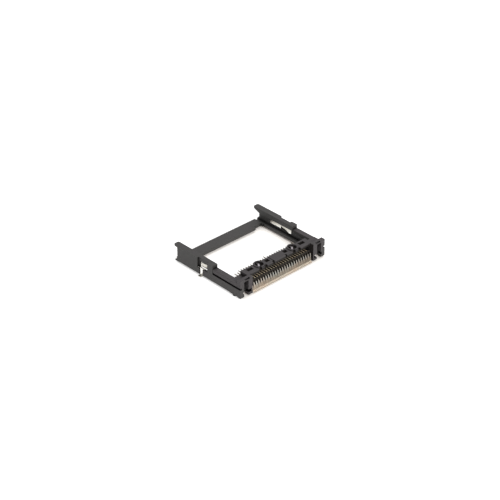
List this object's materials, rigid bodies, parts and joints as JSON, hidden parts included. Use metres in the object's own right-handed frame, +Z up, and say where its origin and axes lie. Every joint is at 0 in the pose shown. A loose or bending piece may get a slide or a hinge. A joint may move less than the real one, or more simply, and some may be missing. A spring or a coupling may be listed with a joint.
{
  "type": "memory card socket",
  "caption": "Low memory card socket: a two-row pin header with formed surface-mount contacts, and a guide frame with eared side channels round an open card bay.",
  "frame": {"origin": "middle of the front line of the header's end blocks, on the circuit board's top face", "axes": "+X along the contact row, +Y from the contact tails towards the card entry, +Z up from the board"},
  "size_m": [0.0474, 0.0389, 0.0084],
  "materials": {
    "housing": "fine matt moulded",
    "frame": "fine matt moulded",
    "clip": "tin plated",
    "contact": "tin and flash gold plated"
  },
  "bodies": {
    "root": {"header_housing": "housing", "guide_frame": "frame", "left_side_clip": "clip", "right_side_clip": "clip", "contact_01": "contact", "contact_02": "contact", "contact_03": "contact", "contact_04": "contact", "contact_05": "contact", "contact_06": "contact", "contact_07": "contact", "contact_08": "contact", "contact_09": "contact", "contact_10": "contact", "contact_11": "contact", "contact_12": "contact", "contact_13": "contact", "contact_14": "contact", "contact_15": "contact", "contact_16": "contact", "contact_17": "contact", "contact_18": "contact", "contact_19": "contact", "contact_20": "contact", "contact_21": "contact", "contact_22": "contact", "contact_23": "contact", "contact_24": "contact", "contact_25": "contact", "contact_26": "contact", "contact_27": "contact", "contact_28": "contact", "contact_29": "contact", "contact_30": "contact", "contact_31": "contact", "contact_32": "contact", "contact_33": "contact", "contact_34": "contact", "contact_35": "contact", "contact_36": "contact", "contact_37": "contact", "contact_38": "contact", "contact_39": "contact", "contact_40": "contact", "contact_41": "contact", "contact_42": "contact", "contact_43": "contact", "contact_44": "contact", "contact_45": "contact", "contact_46": "contact", "contact_47": "contact", "contact_48": "contact", "contact_49": "contact", "contact_50": "contact"}
  },
  "joints": []
}
